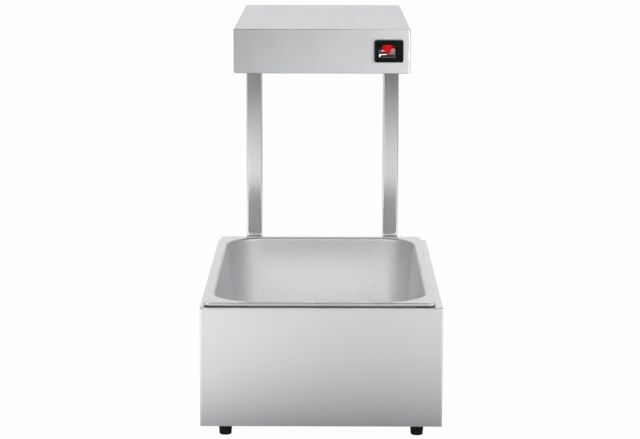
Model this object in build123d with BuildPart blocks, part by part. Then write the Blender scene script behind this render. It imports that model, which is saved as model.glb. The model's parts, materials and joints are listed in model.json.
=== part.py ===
from build123d import *
import os

os.makedirs("parts", exist_ok=True)

# Stainless sheet of the case and the head
sheet = 1.0
bend_radius = 2.5

# Full-size gastronorm pan, drawn from one sheet
pan_length = 530.0
pan_width = 325.0
pan_depth = 150.0
pan_wall = 0.8
pan_flange = 12.5
rim_rise = 6.0
lip_gap = 1.6
pan_hem = 1.6
pan_corner = 62.0
pan_rim_corner = 8.0
pan_taper = 5.5
pan_roll = 4.5
pan_rim_bend = 2.0
pan_floor_radius = 22.0
pan_offset = -2.5

# Base case around the pan
side_margin = 7.5
end_margin = 5.0
pan_floor_gap = 24.0
floor_fit = 0.3

# Rubber feet
foot_height = 20.0
foot_top = 20.0
foot_bottom = 17.0
foot_inset = 34.0
foot_recess = 9.5
foot_recess_depth = 11.0
foot_flange_margin = 8.0

# Posts of rectangular tube and the stiffener that carries them
post_width = 25.0
post_depth = 40.0
post_wall = 1.5
post_corner = 3.0
post_fit = 0.25
post_back_gap = 6.0
post_ground_gap = 12.0
post_head_gap = 1.5
plug_flange = 3.0
plug_insert = 12.0
plug_fit = 0.3
stiffener_sheet = 1.5
stiffener_depth = 9.0
stiffener_height = 84.0
stiffener_drop = 26.0
stiffener_overlap = 12.0
post_screw_pitch = 50.0

# Head
head_margin = 45.0
head_depth = 488.0
head_height = 62.0
head_gap = 318.5
head_flange = 14.0
head_floor_inset = 3.0
floor_screw_inset = 42.0
notch_clearance = 1.0

# Fasteners
bolt = 4.8
bolt_hole = 5.5
bolt_head = 9.0
bolt_head_height = 3.2
bolt_nut = 8.0
bolt_nut_height = 4.0
nut_bore = 5.1
tapping = 2.9
tapping_hole = 3.4
tapping_head = 6.0
tapping_head_height = 2.0
thread_tail = 2.0

# Reflector, lamps and guard
reflector_sheet = 0.8
reflector_flange = 9.0
reflector_margin = 4.5
reflector_lap = 2.0
reflector_taper = 25.0
reflector_headroom = 24.5
reflector_radius = 4.0
window_corner = 24.0
lamp_edge = 47.0
lamp_rise = 14.0
lamp_end_room = 31.0
lamp_rear_room = 32.0
tube_diameter = 11.0
tube_wall = 1.0
core_diameter = 6.0
core_seat = 4.0
cap_diameter = 16.0
cap_length = 16.0
cap_socket = 8.0
cap_tail = 8.0
cap_tail_diameter = 9.4
cap_fit = 0.3
bracket_sheet = 1.2
bracket_margin = 16.0
bracket_drop = 10.0
bracket_flange = 12.0
guard_rim = 4.0
guard_bar = 3.0
guard_inset = 5.0
guard_gap = 0.2
guard_corner = 14.0
guard_pitch = 26.0
clip_sheet = 0.8
clip_width = 10.0
clip_foot = 15.0

# Rocker switch on the head's front
switch_inset = 33.2
switch_barrel_width = 27.0
switch_barrel_height = 22.0
switch_depth = 30.0
switch_cutout_fit = 0.2
switch_room = 20.0
bezel_width = 31.0
bezel_height = 27.0
bezel_thickness = 2.0
window_side = 11.9
window_half_height = 9.3
window_depth = 13.0
rocker_half_length = 10.6
rocker_rise = 6.0
rocker_valley = 4.4
rocker_back = 3.0
rocker_side_gap = 0.45
rocker_angle = 10.0
pivot_depth = 3.0
pivot_pin = 3.0
pivot_pin_length = 1.5
pivot_fit = 0.3
frame_width = 40.0
frame_offset = 2.7
frame_height = 31.0
frame_depth = 4.6
frame_lip = 1.4
frame_corner = 2.0
frame_fit = 0.2
hood_width = 28.0
hood_height = 23.0
hood_rise = 6.5
hood_wall = 0.9
hood_foot = 0.8
hood_taper = 20.0
hood_corner = 4.5
hood_round = 3.2
terminal_tab = 6.3
terminal_tab_thickness = 0.8
terminal_tab_length = 8.0

# Terminal block and cable gland
block_width = 38.0
block_depth = 20.0
block_height = 17.0
block_pitch = 11.0
block_bore = 4.2
block_screw = 3.2
block_edge = 1.0
gland_x = -45.0
gland_thread = 16.0
gland_bore = 8.4
gland_flats = 19.0
gland_flange = 5.0
gland_inside = 9.0
gland_sleeve = 14.0
gland_sleeve_length = 8.0
gland_cap_length = 17.0
gland_nose = 7.0
gland_nut_flats = 22.0
gland_nut_height = 4.0
gland_fit = 0.2

# Heights above the table
case_height = pan_depth - rim_rise + pan_floor_gap + 2 * sheet
case_bottom = foot_height
case_top = case_bottom + case_height
rim_top = case_top + rim_rise
head_bottom = case_top + head_gap
head_top = head_bottom + head_height

# Plan: the front faces -Y and the whole warmer is centred on the origin
case_width = pan_width + 2 * side_margin
case_depth = pan_length + 2 * end_margin
head_width = case_width - 2 * head_margin
overall_depth = case_depth + post_depth + post_back_gap + sheet + gland_flange + gland_cap_length
case_front = -overall_depth / 2
case_rear = case_front + case_depth
case_middle = (case_front + case_rear) / 2
post_front = case_rear
post_rear = post_front + post_depth
post_middle = (post_front + post_rear) / 2
head_rear = post_rear + post_back_gap + sheet
head_front = head_rear - head_depth
head_middle = (head_front + head_rear) / 2
head_inner = head_width - 2 * sheet
post_x = head_inner / 2 - post_fit - post_width / 2
post_bottom = case_bottom + post_ground_gap
post_top = head_top - sheet - post_head_gap


def front_plane(y):
    # Upright plane at y that faces the front, with X to the right and Z up
    return Plane.XZ.offset(-y)


def rounded_ring(outer, inner):
    # Flat ring between two rounded rectangles, each given as width, length and corner radius
    RectangleRounded(*outer)
    RectangleRounded(*inner, mode=Mode.SUBTRACT)


def drill(plane, points, diameter, depth):
    # Round holes from the plane against its facing direction
    with BuildSketch(plane) as holes:
        with Locations(*points):
            Circle(diameter / 2)
    extrude(holes.sketch, amount=-depth, mode=Mode.SUBTRACT)


def screws(plane, points, shank, length, head, head_height):
    # Domed cross-recessed screws whose heads seat on the plane
    with BuildPart() as group:
        with BuildSketch(plane):
            with Locations(*points):
                Circle(head / 2)
        extrude(amount=head_height)
        fillet(group.edges().group_by(Axis(plane.origin, plane.z_dir))[-1], radius=0.45 * head_height)
        with BuildSketch(plane.offset(head_height)):
            with Locations(*points):
                Rectangle(0.55 * head, 0.14 * head)
                Rectangle(0.14 * head, 0.55 * head)
        extrude(amount=-0.5 * head_height, mode=Mode.SUBTRACT)
        with BuildSketch(plane):
            with Locations(*points):
                Circle(shank / 2)
        extrude(amount=-length)
    return group.part


def hex_nuts(plane, points, flats, bore, height):
    # Hexagon nuts that stand on the plane
    with BuildPart() as group:
        with BuildSketch(plane):
            with Locations(*points):
                RegularPolygon(flats / 2, 6, major_radius=False)
                Circle(bore / 2, mode=Mode.SUBTRACT)
        extrude(amount=height)
    return group.part


def keep(piece, name):
    piece.label = name
    export_step(piece, f"parts/{name}.step")


# Gastronorm pan: tapered bowl, flat flange rolled over at the inner edge, turned-down hemmed lip
pan_inner_width = pan_width - 2 * pan_flange
pan_inner_length = pan_length - 2 * pan_flange
pan_outer_width = pan_inner_width + 2 * pan_wall
pan_outer_length = pan_inner_length + 2 * pan_wall
pan_mouth = Plane((pan_offset, case_middle, rim_top), x_dir=(1, 0, 0), z_dir=(0, 0, -1))
lip_bottom = case_top + lip_gap
with BuildPart() as pan_cavity:
    with BuildSketch(pan_mouth):
        RectangleRounded(pan_inner_width, pan_inner_length, pan_corner)
    extrude(amount=pan_depth - pan_wall, taper=pan_taper)
    fillet(pan_cavity.faces().sort_by(Axis.Z)[0].edges(), radius=pan_floor_radius)
with BuildPart() as pan:
    with BuildSketch(pan_mouth):
        RectangleRounded(pan_outer_width, pan_outer_length, pan_corner + pan_wall)
    extrude(amount=pan_depth, taper=pan_taper)
    fillet(pan.faces().sort_by(Axis.Z)[0].edges(), radius=pan_floor_radius + pan_wall)
    with BuildSketch(pan_mouth):
        RectangleRounded(pan_width, pan_length, pan_rim_corner)
    extrude(amount=pan_wall)
    under_flange = pan.faces().filter_by(Axis.Z).sort_by(Axis.Z)[-2]
    fillet(under_flange.inner_wires()[0].edges(), radius=pan_roll - pan_wall)
    with BuildSketch(Plane((pan_offset, case_middle, lip_bottom))):
        rounded_ring(
            (pan_width, pan_length, pan_rim_corner),
            (pan_width - 2 * pan_hem, pan_length - 2 * pan_hem, pan_rim_corner - pan_hem),
        )
    extrude(amount=rim_rise - lip_gap)
    hem_face = pan.faces().filter_by_position(Axis.Z, lip_bottom - pan_wall / 2, lip_bottom + pan_wall / 2)
    fillet(hem_face.edges(), radius=0.45 * pan_hem)
    add(pan_cavity.part, mode=Mode.SUBTRACT)
    rim_face = pan.faces().filter_by(Axis.Z).sort_by(Axis.Z)[-1]
    fillet(rim_face.inner_wires()[0].edges(), radius=pan_roll)
    rim_face = pan.faces().filter_by(Axis.Z).sort_by(Axis.Z)[-1]
    fillet(rim_face.outer_wire().edges(), radius=pan_rim_bend)
keep(pan.part, "food_pan")

# Base case: walls and top ledge in one folded shell, an upturned edge round the opening that carries
# the pan's flange, and a wide return flange below for the feet
case_flange = foot_inset + foot_top / 2 + foot_flange_margin
case_inner_width = case_width - 2 * sheet
case_inner_depth = case_depth - 2 * sheet
under_flange_start = pan_roll - pan_wall
under_flange_end = pan_flange - pan_wall - pan_hem - sheet
opening_clearance = (under_flange_start + under_flange_end) / 2
opening_corner = pan_corner + pan_wall + opening_clearance
opening_width = pan_outer_width + 2 * opening_clearance
opening_depth = pan_outer_length + 2 * opening_clearance
foot_x = case_width / 2 - foot_inset
foot_points = [
    (x, y) for y in (case_front + foot_inset, case_rear - foot_inset) for x in (-foot_x, foot_x)
]
stiffener_middle = case_top - stiffener_drop - stiffener_height / 2
post_screw_points = [
    (x, stiffener_middle + z)
    for x in (-post_x, post_x)
    for z in (-post_screw_pitch / 2, post_screw_pitch / 2)
]
with BuildPart() as base_case:
    with BuildSketch(Plane((0, case_middle, case_bottom))):
        RectangleRounded(case_width, case_depth, bend_radius)
    extrude(amount=case_height)
    fillet(base_case.faces().sort_by(Axis.Z)[-1].edges(), radius=0.8 * bend_radius)
    offset(amount=-sheet, openings=base_case.faces().sort_by(Axis.Z)[0])
    with BuildSketch(Plane((0, case_middle, case_top))):
        RectangleRounded(opening_width, opening_depth, opening_corner)
    extrude(amount=-2 * sheet, mode=Mode.SUBTRACT)
    with BuildSketch(Plane((0, case_middle, case_top))):
        rounded_ring(
            (opening_width + 2 * sheet, opening_depth + 2 * sheet, opening_corner + sheet),
            (opening_width, opening_depth, opening_corner),
        )
    extrude(amount=rim_rise - pan_wall)
    with BuildSketch(Plane((0, case_middle, case_bottom))):
        Rectangle(case_inner_width, case_inner_depth)
        Rectangle(case_width - 2 * case_flange, case_depth - 2 * case_flange, mode=Mode.SUBTRACT)
    extrude(amount=sheet)
    drill(Plane.XY.offset(case_bottom + sheet), foot_points, bolt_hole, sheet)
    drill(front_plane(case_rear - sheet), post_screw_points, bolt_hole, sheet)
keep(base_case.part, "base_case")

# Floor plate, laid on the return flange and clamped by the foot screws
floor_plate_top = case_bottom + 2 * sheet
with BuildPart() as base_floor:
    with BuildSketch(Plane((0, case_middle, case_bottom + sheet))):
        RectangleRounded(case_inner_width - 2 * floor_fit, case_inner_depth - 2 * floor_fit, bend_radius)
    extrude(amount=sheet)
    drill(Plane.XY.offset(floor_plate_top), foot_points, bolt_hole, sheet)
keep(base_floor.part, "base_floor")

# Rubber feet, tapered, with a deep recess below for the screw head
foot_names = ("foot_front_left", "foot_front_right", "foot_rear_left", "foot_rear_right")
for foot_name, foot_point in zip(foot_names, foot_points):
    with BuildPart() as foot:
        with BuildSketch(Plane((*foot_point, 0))):
            Circle(foot_bottom / 2)
        with BuildSketch(Plane((*foot_point, foot_height))):
            Circle(foot_top / 2)
        loft()
        fillet(foot.edges().group_by(Axis.Z)[0], radius=0.1 * foot_bottom)
        drill(Plane.XY.offset(foot_height), [foot_point], bolt_hole, foot_height)
        drill(Plane.XY.offset(foot_recess_depth), [foot_point], foot_recess, foot_recess_depth)
    keep(foot.part, foot_name)

foot_grip = foot_height - foot_recess_depth + 2 * sheet
foot_screw_plane = Plane((0, 0, foot_recess_depth), x_dir=(1, 0, 0), z_dir=(0, 0, -1))
keep(
    screws(
        foot_screw_plane,
        [(x, -y) for x, y in foot_points],
        bolt,
        foot_grip + bolt_nut_height + thread_tail,
        bolt_head,
        bolt_head_height,
    ),
    "foot_screws",
)
keep(
    hex_nuts(Plane.XY.offset(floor_plate_top), foot_points, bolt_nut, nut_bore, bolt_nut_height),
    "foot_nuts",
)

# Stiffener tray behind the pan, inside the rear wall
stiffener_rear = case_rear - sheet
stiffener_width = 2 * post_x + post_width + 2 * stiffener_overlap
with BuildPart() as rear_stiffener:
    with BuildSketch(front_plane(stiffener_rear)):
        with Locations((0, stiffener_middle)):
            RectangleRounded(stiffener_width, stiffener_height, 2 * stiffener_sheet)
    extrude(amount=stiffener_depth)
    offset(amount=-stiffener_sheet, openings=rear_stiffener.faces().sort_by(Axis.Y)[0])
    drill(front_plane(stiffener_rear - stiffener_sheet), post_screw_points, bolt_hole, stiffener_sheet)
keep(rear_stiffener.part, "rear_stiffener")

# Posts: rectangular tubes from low on the rear wall up into the head
post_bore_width = post_width - 2 * post_wall
post_bore_depth = post_depth - 2 * post_wall
head_screw_pitch = post_bore_depth - 2 * bolt_nut
head_screw_middle = (head_bottom + post_top) / 2
head_screw_points = [
    (post_middle - head_screw_pitch / 2, head_screw_middle),
    (post_middle + head_screw_pitch / 2, head_screw_middle),
]
for side_name, side in (("left", -1), ("right", 1)):
    with BuildPart() as post:
        with BuildSketch(Plane((side * post_x, post_middle, post_bottom))):
            rounded_ring(
                (post_width, post_depth, post_corner),
                (post_bore_width, post_bore_depth, post_corner - post_wall),
            )
        extrude(amount=post_top - post_bottom)
        drill(front_plane(post_front + post_wall), post_screw_points, bolt_hole, -post_wall)
        post_outside = Plane.YZ.offset(side * (post_x + post_width / 2))
        drill(post_outside, head_screw_points, bolt_hole, side * post_wall)
    keep(post.part, f"post_{side_name}")
    with BuildPart() as plug:
        with BuildSketch(Plane((side * post_x, post_middle, post_bottom))):
            RectangleRounded(post_width, post_depth, post_corner)
        extrude(amount=-plug_flange)
        fillet(plug.edges().group_by(Axis.Z)[0], radius=0.4 * plug_flange)
        with BuildSketch(Plane((side * post_x, post_middle, post_bottom))):
            Rectangle(post_bore_width - 2 * post_corner, post_bore_depth - 2 * plug_fit)
            Rectangle(post_bore_width - 2 * plug_fit, post_bore_depth - 2 * post_corner)
        extrude(amount=plug_insert)
    keep(plug.part, f"post_plug_{side_name}")

post_grip = stiffener_sheet + sheet + post_wall
keep(
    screws(
        front_plane(stiffener_rear - stiffener_sheet),
        post_screw_points,
        bolt,
        post_grip + bolt_nut_height + thread_tail,
        bolt_head,
        bolt_head_height,
    ),
    "post_screws",
)
keep(
    hex_nuts(front_plane(post_front + post_wall), post_screw_points, bolt_nut, nut_bore, -bolt_nut_height),
    "post_nuts",
)

# Head shell: folded box, open below, with a narrow return flange for the floor plate
window_width = head_inner - 2 * (head_flange + reflector_flange + reflector_margin)
window_front = head_front + sheet + switch_depth + switch_room
window_rear = post_front - lamp_rear_room
window_length = window_rear - window_front
window_middle = (window_front + window_rear) / 2
switch_x = head_width / 2 - switch_inset
switch_z = head_bottom + head_height / 2
switch_cutout_width = switch_barrel_width + 2 * switch_cutout_fit
switch_cutout_height = switch_barrel_height + 2 * switch_cutout_fit
gland_z = head_bottom + head_height / 2
notch_width = post_width + post_fit + notch_clearance
notch_front = post_front - notch_clearance
notch_depth = head_rear - notch_front
flange_line = head_inner / 2 - head_flange / 2
floor_screw_rows = (head_front + floor_screw_inset, window_middle, window_rear)
reflector_screw_rows = (window_front, window_middle, window_rear)
floor_screw_points = [(x, y) for y in floor_screw_rows for x in (-flange_line, flange_line)]
with BuildPart() as head_shell:
    with BuildSketch(Plane((0, head_middle, head_bottom))):
        RectangleRounded(head_width, head_depth, bend_radius)
    extrude(amount=head_height)
    fillet(head_shell.faces().sort_by(Axis.Z)[-1].edges(), radius=0.8 * bend_radius)
    offset(amount=-sheet, openings=head_shell.faces().sort_by(Axis.Z)[0])
    with BuildSketch(Plane((0, head_middle, head_bottom))):
        Rectangle(head_inner, head_depth - 2 * sheet)
        Rectangle(head_inner - 2 * head_flange, head_depth - 2 * sheet - 2 * head_flange, mode=Mode.SUBTRACT)
        with Locations((0, notch_front + notch_depth / 2 - head_middle)):
            with GridLocations(head_inner - notch_width, 1, 2, 1):
                Rectangle(notch_width, notch_depth, mode=Mode.SUBTRACT)
    extrude(amount=sheet)
    drill(Plane.XY.offset(head_bottom + sheet), floor_screw_points, tapping_hole, sheet)
    drill(Plane.YZ.offset(head_width / 2), head_screw_points, bolt_hole, sheet)
    drill(Plane.YZ.offset(-head_inner / 2), head_screw_points, bolt_hole, sheet)
    drill(front_plane(head_rear - sheet), [(gland_x, gland_z)], gland_thread + 2 * gland_fit, sheet)
    with BuildSketch(front_plane(head_front)):
        with Locations((switch_x, switch_z)):
            Rectangle(switch_cutout_width, switch_cutout_height)
    extrude(amount=-sheet, mode=Mode.SUBTRACT)
keep(head_shell.part, "head_shell")

# Screws from both sides through the head into nuts inside the posts
side_grip = sheet + post_fit + post_wall
side_screws = [
    screws(
        Plane((side * head_width / 2, 0, 0), x_dir=(0, side, 0), z_dir=(side, 0, 0)),
        [(side * y, z) for y, z in head_screw_points],
        bolt,
        side_grip + bolt_nut_height + thread_tail,
        bolt_head,
        bolt_head_height,
    )
    for side in (-1, 1)
]
keep(Compound(side_screws[0].solids() + side_screws[1].solids()), "head_side_screws")
nut_seat = post_x + post_width / 2 - post_wall
side_nuts = [
    hex_nuts(Plane.YZ.offset(side * nut_seat), head_screw_points, bolt_nut, nut_bore, -side * bolt_nut_height)
    for side in (-1, 1)
]
keep(Compound(side_nuts[0].solids() + side_nuts[1].solids()), "head_side_nuts")

# Floor plate of the head with the window for the heat and notches for the posts
floor_width = head_width - 2 * head_floor_inset
floor_depth = head_depth - 2 * head_floor_inset
reflector_width = window_width + 2 * reflector_lap
reflector_length = window_length + 2 * reflector_lap
reflector_screw_line = reflector_width / 2 + reflector_flange / 2
reflector_screw_points = [
    (x, y) for y in reflector_screw_rows for x in (-reflector_screw_line, reflector_screw_line)
]
guard_width = window_width - 2 * guard_inset
guard_length = window_length - 2 * guard_inset
guard_count = int(window_length / guard_pitch)
clip_row_offset = (guard_count / 2 - guard_count // 5 - 1) * guard_pitch
clip_rows = (window_middle - clip_row_offset, window_middle + clip_row_offset)
clip_reach = guard_rim / 2 + guard_gap + clip_sheet
clip_screw_line = guard_width / 2 + clip_reach + clip_foot / 2
clip_screw_points = [(x, y) for y in clip_rows for x in (-clip_screw_line, clip_screw_line)]
block_y = (window_rear + reflector_lap + reflector_flange + head_rear - sheet - head_flange) / 2
with BuildPart() as head_floor:
    with BuildSketch(Plane((0, head_middle, head_bottom))):
        RectangleRounded(floor_width, floor_depth, bend_radius)
        with Locations((0, window_middle - head_middle)):
            RectangleRounded(window_width, window_length, window_corner, mode=Mode.SUBTRACT)
        with Locations((0, notch_front + notch_depth / 2 - head_middle)):
            with GridLocations(head_inner - notch_width, 1, 2, 1):
                Rectangle(notch_width, notch_depth, mode=Mode.SUBTRACT)
    extrude(amount=-sheet)
    floor_holes = floor_screw_points + reflector_screw_points + clip_screw_points
    drill(Plane.XY.offset(head_bottom), floor_holes, tapping_hole, sheet)
keep(head_floor.part, "head_floor")

under_head = Plane((0, 0, head_bottom - sheet), x_dir=(1, 0, 0), z_dir=(0, 0, -1))
keep(
    screws(
        under_head,
        [(x, -y) for x, y in floor_screw_points],
        tapping,
        2 * sheet + 2 * thread_tail,
        tapping_head,
        tapping_head_height,
    ),
    "head_floor_screws",
)

# Polished reflector tray over the window
reflector_height = head_height - sheet - reflector_headroom
with BuildPart() as reflector:
    with BuildSketch(Plane((0, window_middle, head_bottom))):
        RectangleRounded(reflector_width, reflector_length, window_corner + reflector_lap)
    extrude(amount=reflector_height, taper=reflector_taper)
    fillet(reflector.faces().sort_by(Axis.Z)[-1].edges(), radius=reflector_radius)
    offset(amount=-reflector_sheet, openings=reflector.faces().sort_by(Axis.Z)[0])
    with BuildSketch(Plane((0, window_middle, head_bottom))):
        rounded_ring(
            (
                reflector_width + 2 * reflector_flange,
                reflector_length + 2 * reflector_flange,
                window_corner + reflector_lap + reflector_flange,
            ),
            (
                reflector_width - 2 * reflector_sheet,
                reflector_length - 2 * reflector_sheet,
                window_corner + reflector_lap - reflector_sheet,
            ),
        )
    extrude(amount=reflector_sheet)
    reflector_holes = reflector_screw_points + clip_screw_points
    drill(Plane.XY.offset(head_bottom + reflector_sheet), reflector_holes, tapping_hole, reflector_sheet)
keep(reflector.part, "reflector")
keep(
    screws(
        under_head,
        [(x, -y) for x, y in reflector_screw_points],
        tapping,
        sheet + reflector_sheet + thread_tail,
        tapping_head,
        tapping_head_height,
    ),
    "reflector_screws",
)

# Lamp brackets hang from the reflector's crown and hold the ceramic caps
lamp_x = window_width / 2 - lamp_edge
lamp_z = head_bottom + lamp_rise
tube_length = window_length - 2 * lamp_end_room
cap_outer_face = tube_length / 2 + cap_length - cap_socket
bracket_width = 2 * (lamp_x + bracket_margin)
bracket_top = head_bottom + reflector_height - reflector_sheet
bracket_low = lamp_z - bracket_drop
lamp_points = [(-lamp_x, lamp_z), (lamp_x, lamp_z)]
for end_name, end in (("front", -1), ("rear", 1)):
    bracket_inner = window_middle + end * (cap_outer_face + cap_fit)
    with BuildPart() as bracket:
        with BuildSketch(front_plane(bracket_inner)):
            with Locations((0, (bracket_top + bracket_low) / 2)):
                RectangleRounded(bracket_width, bracket_top - bracket_low, 2 * bracket_sheet)
            with Locations(*lamp_points):
                Circle(cap_tail_diameter / 2 + cap_fit, mode=Mode.SUBTRACT)
        extrude(amount=-end * bracket_sheet)
        with BuildSketch(Plane((0, bracket_inner - end * bracket_flange / 2, bracket_top))):
            Rectangle(bracket_width - 4 * bracket_sheet, bracket_flange)
        extrude(amount=-bracket_sheet)
    keep(bracket.part, f"lamp_bracket_{end_name}")

# Two infrared lamps: quartz tube, heating core and a ceramic cap at each end
for side_name, side in (("left", -1), ("right", 1)):
    lamp_point = [(side * lamp_x, lamp_z)]
    tube_start = front_plane(window_middle - tube_length / 2)
    with BuildPart() as tube:
        with BuildSketch(tube_start):
            with Locations(*lamp_point):
                Circle(tube_diameter / 2)
                Circle(tube_diameter / 2 - tube_wall, mode=Mode.SUBTRACT)
        extrude(amount=-tube_length)
    keep(tube.part, f"quartz_tube_{side_name}")
    with BuildPart() as core:
        with BuildSketch(tube_start.offset(core_seat - cap_fit)):
            with Locations(*lamp_point):
                Circle(core_diameter / 2)
        extrude(amount=-tube_length - 2 * (core_seat - cap_fit))
    keep(core.part, f"heating_core_{side_name}")
    for end_name, end in (("front", -1), ("rear", 1)):
        cap_face = front_plane(window_middle + end * cap_outer_face)
        socket_floor = front_plane(window_middle + end * (tube_length / 2 + cap_fit))
        with BuildPart() as cap:
            with BuildSketch(cap_face):
                with Locations(*lamp_point):
                    Circle(cap_diameter / 2)
            extrude(amount=end * cap_length)
            fillet(cap.edges().filter_by(GeomType.CIRCLE), radius=0.06 * cap_diameter)
            with BuildSketch(cap_face):
                with Locations(*lamp_point):
                    Circle(cap_tail_diameter / 2)
            extrude(amount=-end * cap_tail)
            drill(socket_floor, lamp_point, tube_diameter + 2 * cap_fit, -end * (cap_socket + cap_fit))
            drill(socket_floor, lamp_point, core_diameter + 2 * cap_fit, end * core_seat)
        keep(cap.part, f"lamp_cap_{side_name}_{end_name}")

# Wire guard: welded rim, cross bars and one long bar, under the head floor
guard_z = head_bottom - sheet - guard_gap - guard_rim / 2
guard_x = guard_width / 2
guard_y = guard_length / 2
with BuildPart() as wire_guard:
    with BuildLine(Plane((0, window_middle, guard_z))) as guard_path:
        FilletPolyline(
            (guard_x, -guard_y),
            (guard_x, guard_y),
            (-guard_x, guard_y),
            (-guard_x, -guard_y),
            radius=guard_corner,
            close=True,
        )
    with BuildSketch(Plane(guard_path.wire() @ 0, z_dir=guard_path.wire() % 0)):
        Circle(guard_rim / 2)
    sweep(path=guard_path.wire())
    with BuildSketch(Plane.YZ.offset(-guard_x)):
        with Locations((window_middle, guard_z)):
            with GridLocations(guard_pitch, 1, guard_count, 1):
                Circle(guard_bar / 2)
    extrude(amount=guard_width)
    with BuildSketch(front_plane(window_middle - guard_y)):
        with Locations((0, guard_z)):
            Circle(guard_bar / 2)
    extrude(amount=-guard_length)
keep(wire_guard.part, "wire_guard")

# Saddle clips that hold the guard's rim against the floor plate
floor_face = head_bottom - sheet
clip_inner = guard_rim / 2 + guard_gap
clip_solids = []
for side in (-1, 1):
    with BuildPart() as clip:
        with BuildSketch(front_plane(clip_rows[0] - clip_width / 2)):
            with Locations((side * guard_x, guard_z)):
                Circle(clip_reach)
            with Locations((side * guard_x, (guard_z + floor_face) / 2)):
                Rectangle(2 * clip_reach, floor_face - guard_z)
            with Locations((side * (clip_screw_line - clip_reach / 2), floor_face - clip_sheet / 2)):
                Rectangle(clip_foot + clip_reach, clip_sheet)
            with Locations((side * guard_x, guard_z)):
                Circle(clip_inner, mode=Mode.SUBTRACT)
            with Locations((side * guard_x, (guard_z + floor_face) / 2)):
                Rectangle(2 * clip_inner, floor_face - guard_z, mode=Mode.SUBTRACT)
            with Locations((side * guard_x, floor_face + clip_reach / 2)):
                Rectangle(2 * clip_reach, clip_reach, mode=Mode.SUBTRACT)
        extrude(amount=-clip_width)
        drill(Plane.XY.offset(floor_face), clip_screw_points, tapping_hole, clip_sheet)
    clip_solids += [clip.part, Pos(0, clip_rows[1] - clip_rows[0], 0) * clip.part]
keep(Compound([solid for part in clip_solids for solid in part.solids()]), "guard_clips")
keep(
    screws(
        under_head.offset(clip_sheet),
        [(x, -y) for x, y in clip_screw_points],
        tapping,
        clip_sheet + sheet + reflector_sheet + thread_tail,
        tapping_head,
        tapping_head_height,
    ),
    "guard_screws",
)

# Ceramic terminal block on the head floor, between the reflector and the rear wall
with BuildPart() as terminal_block:
    with BuildSketch(Plane((0, block_y, head_bottom))):
        RectangleRounded(block_width, block_depth, block_edge)
    extrude(amount=block_height)
    chamfer(terminal_block.faces().sort_by(Axis.Z)[-1].edges(), length=0.8 * block_edge)
    with BuildSketch(front_plane(block_y - block_depth / 2)):
        with Locations((0, head_bottom + block_height / 2)):
            with GridLocations(block_pitch, 1, 3, 1):
                Circle(block_bore / 2)
    extrude(amount=-block_depth, mode=Mode.SUBTRACT)
    with BuildSketch(Plane((0, block_y, head_bottom + block_height))):
        with GridLocations(block_pitch, block_depth / 2, 3, 2):
            Circle(block_screw / 2)
    extrude(amount=-block_height / 2, mode=Mode.SUBTRACT)
keep(terminal_block.part, "terminal_block")

# Cable gland in the head's rear wall
gland_point = [(gland_x, gland_z)]
with BuildPart() as gland_body:
    with BuildSketch(front_plane(head_rear)):
        with Locations(*gland_point):
            RegularPolygon(gland_flats / 2, 6, major_radius=False)
    extrude(amount=-gland_flange)
    with BuildSketch(front_plane(head_rear)):
        with Locations(*gland_point):
            Circle(gland_thread / 2)
    extrude(amount=sheet + gland_inside)
    with BuildSketch(front_plane(head_rear + gland_flange)):
        with Locations(*gland_point):
            Circle(gland_sleeve / 2)
    extrude(amount=-gland_sleeve_length)
    gland_inner_end = head_rear - sheet - gland_inside
    gland_run = sheet + gland_inside + gland_flange + gland_sleeve_length
    drill(front_plane(gland_inner_end), gland_point, gland_bore, gland_run)
keep(gland_body.part, "gland_body")
keep(
    hex_nuts(
        front_plane(head_rear - sheet),
        gland_point,
        gland_nut_flats,
        gland_thread + 2 * gland_fit,
        gland_nut_height,
    ),
    "gland_lock_nut",
)
gland_cap_seat = head_rear + gland_flange
with BuildPart() as gland_cap:
    with BuildSketch(front_plane(gland_cap_seat)):
        with Locations(*gland_point):
            RegularPolygon(gland_flats / 2, 6, major_radius=False)
    extrude(amount=-(gland_cap_length - gland_nose))
    with BuildSketch(front_plane(gland_cap_seat + gland_cap_length - gland_nose)):
        with Locations(*gland_point):
            Circle(gland_flats / 2)
    extrude(amount=-gland_nose, taper=12)
    fillet(gland_cap.faces().sort_by(Axis.Y)[-1].edges(), radius=0.3 * gland_nose)
    drill(front_plane(gland_cap_seat), gland_point, gland_bore, gland_cap_length)
    drill(
        front_plane(gland_cap_seat),
        gland_point,
        gland_sleeve + 2 * gland_fit,
        gland_sleeve_length + gland_fit,
    )
keep(gland_cap.part, "gland_cap")

# Switch body: barrel through the panel, bezel in front, window with the rocker's bearing holes
switch_face = head_front - bezel_thickness
pivot_y = head_front + pivot_depth
with BuildPart() as switch_body:
    with BuildSketch(front_plane(head_front)):
        with Locations((switch_x, switch_z)):
            RectangleRounded(bezel_width, bezel_height, frame_corner)
    extrude(amount=bezel_thickness)
    with BuildSketch(front_plane(head_front)):
        with Locations((switch_x, switch_z)):
            Rectangle(switch_barrel_width, switch_barrel_height)
    extrude(amount=-switch_depth + terminal_tab_length)
    with BuildSketch(front_plane(switch_face)):
        with Locations((switch_x, switch_z)):
            Rectangle(2 * window_side, 2 * window_half_height)
    extrude(amount=-window_depth, mode=Mode.SUBTRACT)
    bearing_low = switch_z - window_half_height - pivot_pin_length - pivot_fit
    with BuildSketch(Plane((switch_x, pivot_y, bearing_low))):
        Circle(pivot_pin / 2 + pivot_fit)
    extrude(amount=2 * (switch_z - bearing_low), mode=Mode.SUBTRACT)
    with BuildSketch(front_plane(head_front + switch_depth - terminal_tab_length)):
        with Locations((switch_x, switch_z)):
            with GridLocations(switch_barrel_width / 2, switch_barrel_height / 2, 2, 2):
                Rectangle(terminal_tab_thickness, terminal_tab)
    extrude(amount=-terminal_tab_length)
keep(switch_body.part, "switch_body")

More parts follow.
